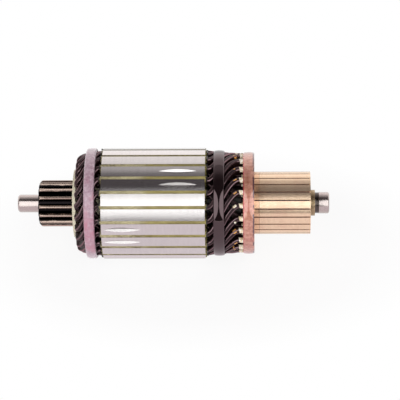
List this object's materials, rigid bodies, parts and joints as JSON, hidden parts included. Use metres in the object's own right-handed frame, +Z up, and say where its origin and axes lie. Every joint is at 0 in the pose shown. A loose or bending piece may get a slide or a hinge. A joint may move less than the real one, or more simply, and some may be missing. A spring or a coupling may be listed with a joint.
{
  "type": "motor armature",
  "caption": "Wound armature of a small DC motor: pinion shaft, slotted steel core, bar-wound coils with binding bands, and a copper commutator, lying on its core.",
  "frame": {"origin": "on the shaft's axis, at the shoulder that the commutator-end bearing seats against", "axes": "+X along the shaft, out of the commutator end; +Z up with the armature lying on its core, a slot facing straight down"},
  "size_m": [0.1745, 0.0622, 0.0622],
  "materials": {
    "shaft_steel": "ground, pinion worn and oily",
    "core_steel": "ground across the teeth",
    "slot_paper": "varnished insulating paper",
    "varnished_copper": "glossy dark varnish over copper",
    "commutator_copper": "turned copper",
    "moulding": "dark brown moulding",
    "bush_brass": "dull brass",
    "pink_band": "varnished cord binding",
    "dark_band": "glossy dark maroon varnish",
    "riser_binding": "varnished copper-pink binding",
    "cream_insulation": "cream insulating board"
  },
  "bodies": {
    "root": {"shaft": "shaft_steel", "lamination_stack": "core_steel", "slot_liners": "slot_paper", "commutator_hub": "moulding", "commutator_bush": "bush_brass", "drive_band": "pink_band", "coil_band": "dark_band", "riser_band": "riser_binding", "insulating_ring": "cream_insulation", "coil_01": "varnished_copper", "coil_02": "varnished_copper", "coil_03": "varnished_copper", "coil_04": "varnished_copper", "coil_05": "varnished_copper", "coil_06": "varnished_copper", "coil_07": "varnished_copper", "coil_08": "varnished_copper", "coil_09": "varnished_copper", "coil_10": "varnished_copper", "coil_11": "varnished_copper", "coil_12": "varnished_copper", "coil_13": "varnished_copper", "coil_14": "varnished_copper", "coil_15": "varnished_copper", "coil_16": "varnished_copper", "coil_17": "varnished_copper", "coil_18": "varnished_copper", "coil_19": "varnished_copper", "coil_20": "varnished_copper", "coil_21": "varnished_copper", "coil_22": "varnished_copper", "coil_23": "varnished_copper", "commutator_bar_01": "commutator_copper", "commutator_bar_02": "commutator_copper", "commutator_bar_03": "commutator_copper", "commutator_bar_04": "commutator_copper", "commutator_bar_05": "commutator_copper", "commutator_bar_06": "commutator_copper", "commutator_bar_07": "commutator_copper", "commutator_bar_08": "commutator_copper", "commutator_bar_09": "commutator_copper", "commutator_bar_10": "commutator_copper", "commutator_bar_11": "commutator_copper", "commutator_bar_12": "commutator_copper", "commutator_bar_13": "commutator_copper", "commutator_bar_14": "commutator_copper", "commutator_bar_15": "commutator_copper", "commutator_bar_16": "commutator_copper", "commutator_bar_17": "commutator_copper", "commutator_bar_18": "commutator_copper", "commutator_bar_19": "commutator_copper", "commutator_bar_20": "commutator_copper", "commutator_bar_21": "commutator_copper", "commutator_bar_22": "commutator_copper", "commutator_bar_23": "commutator_copper"}
  },
  "joints": []
}
